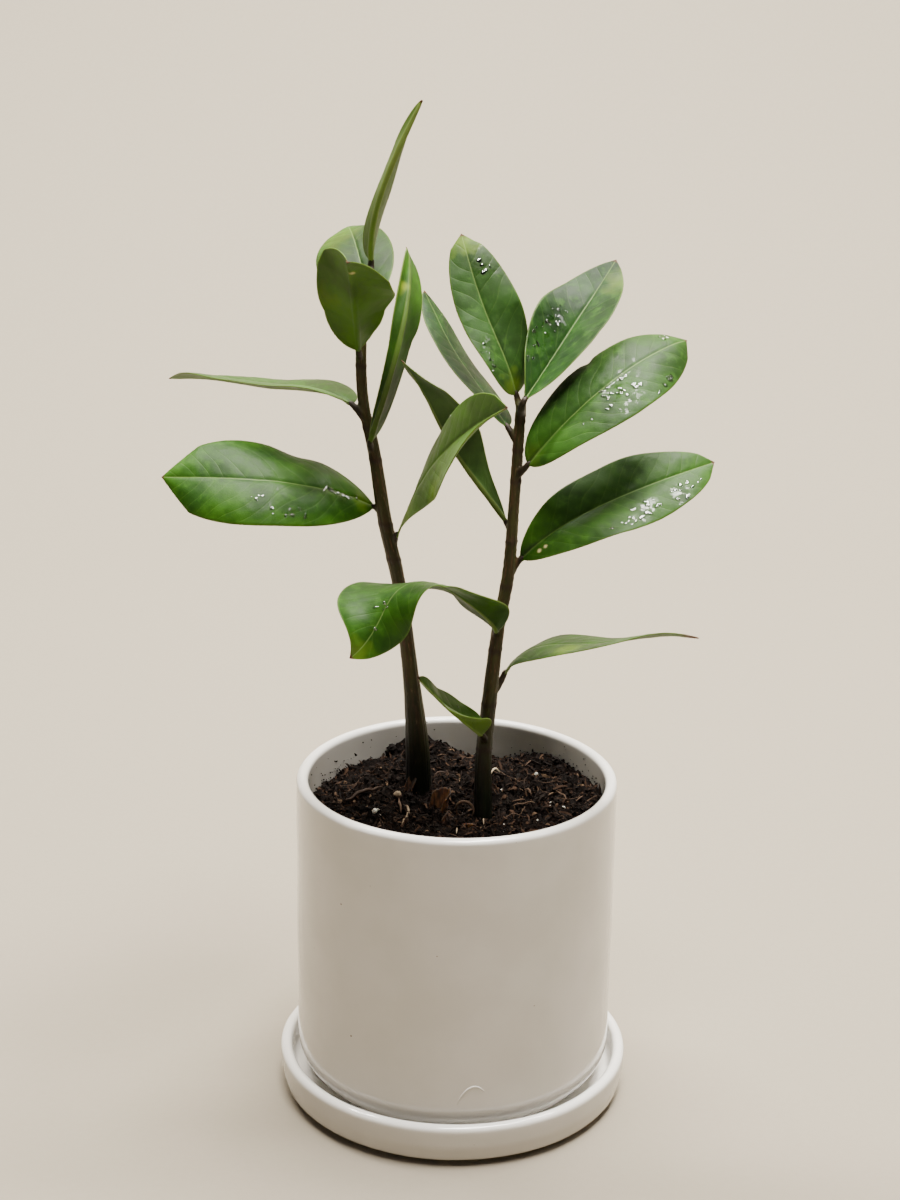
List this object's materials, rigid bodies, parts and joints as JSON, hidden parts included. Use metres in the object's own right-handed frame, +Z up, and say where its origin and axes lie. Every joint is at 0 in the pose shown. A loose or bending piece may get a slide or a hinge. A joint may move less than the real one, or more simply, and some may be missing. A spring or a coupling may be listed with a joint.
{
  "type": "potted zz plant",
  "caption": "Potted ZZ plant with upright stems and glossy pointed oval leaflets, standing in dark soil in a round white glazed pot on a matching saucer.",
  "frame": {"origin": "middle of the flat underside of the saucer, on the surface that the plant stands on", "axes": "+Z up along the pot; the pictured view looks along +Y, so +X is to its right"},
  "size_m": [0.2152, 0.1467, 0.4004],
  "materials": {
    "white_glaze": "smooth white gloss glaze on fired clay",
    "potting_soil": "loose dark bark and peat mix with white perlite and pale fibres",
    "stem": "smooth, satin, mottled dark brown and green",
    "leaf": "thick waxy leaf, glossy above and paler below"
  },
  "bodies": {
    "root": {"saucer": "white_glaze", "pot": "white_glaze", "soil": "potting_soil", "stem_left": "stem", "stem_right": "stem", "leaflet_left_1": "leaf", "leaflet_left_2": "leaf", "leaflet_left_3": "leaf", "leaflet_left_4": "leaf", "leaflet_left_5": "leaf", "leaflet_left_6": "leaf", "leaflet_left_7": "leaf", "leaflet_right_1": "leaf", "leaflet_right_2": "leaf", "leaflet_right_3": "leaf", "leaflet_right_4": "leaf", "leaflet_right_5": "leaf", "leaflet_right_6": "leaf", "leaflet_right_7": "leaf", "leaflet_right_8": "leaf", "leaflet_right_9": "leaf"}
  },
  "joints": []
}
